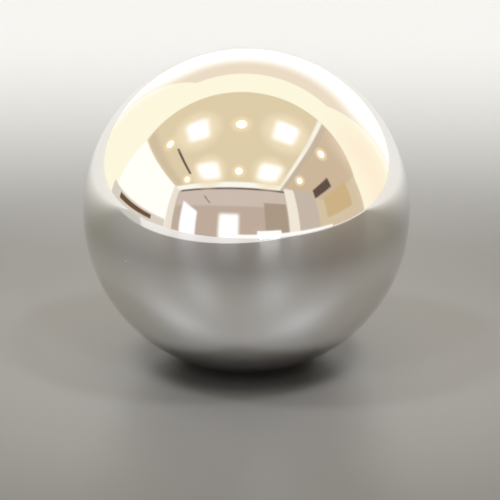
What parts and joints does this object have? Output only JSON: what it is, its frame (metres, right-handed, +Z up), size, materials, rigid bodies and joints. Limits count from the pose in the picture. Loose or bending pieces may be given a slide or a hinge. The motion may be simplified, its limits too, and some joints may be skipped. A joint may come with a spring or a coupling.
{
  "type": "joystick ball top",
  "caption": "Mirror-polished solid metal ball knob for an arcade joystick lever, with a flat seat and a tapped blind hole underneath that screws onto the lever's stud.",
  "frame": {"origin": "centre of the flat seat underneath, where the ball stands on a table or on the lever's shoulder", "axes": "+Z up along the turning axis, from the seat through the ball's centre to its crown"},
  "size_m": [0.035, 0.035, 0.0339],
  "materials": {
    "mirror_metal": "mirror polish on the ball, turned seat and cut thread underneath"
  },
  "bodies": {
    "root": {"ball_top": "mirror_metal"}
  },
  "joints": []
}
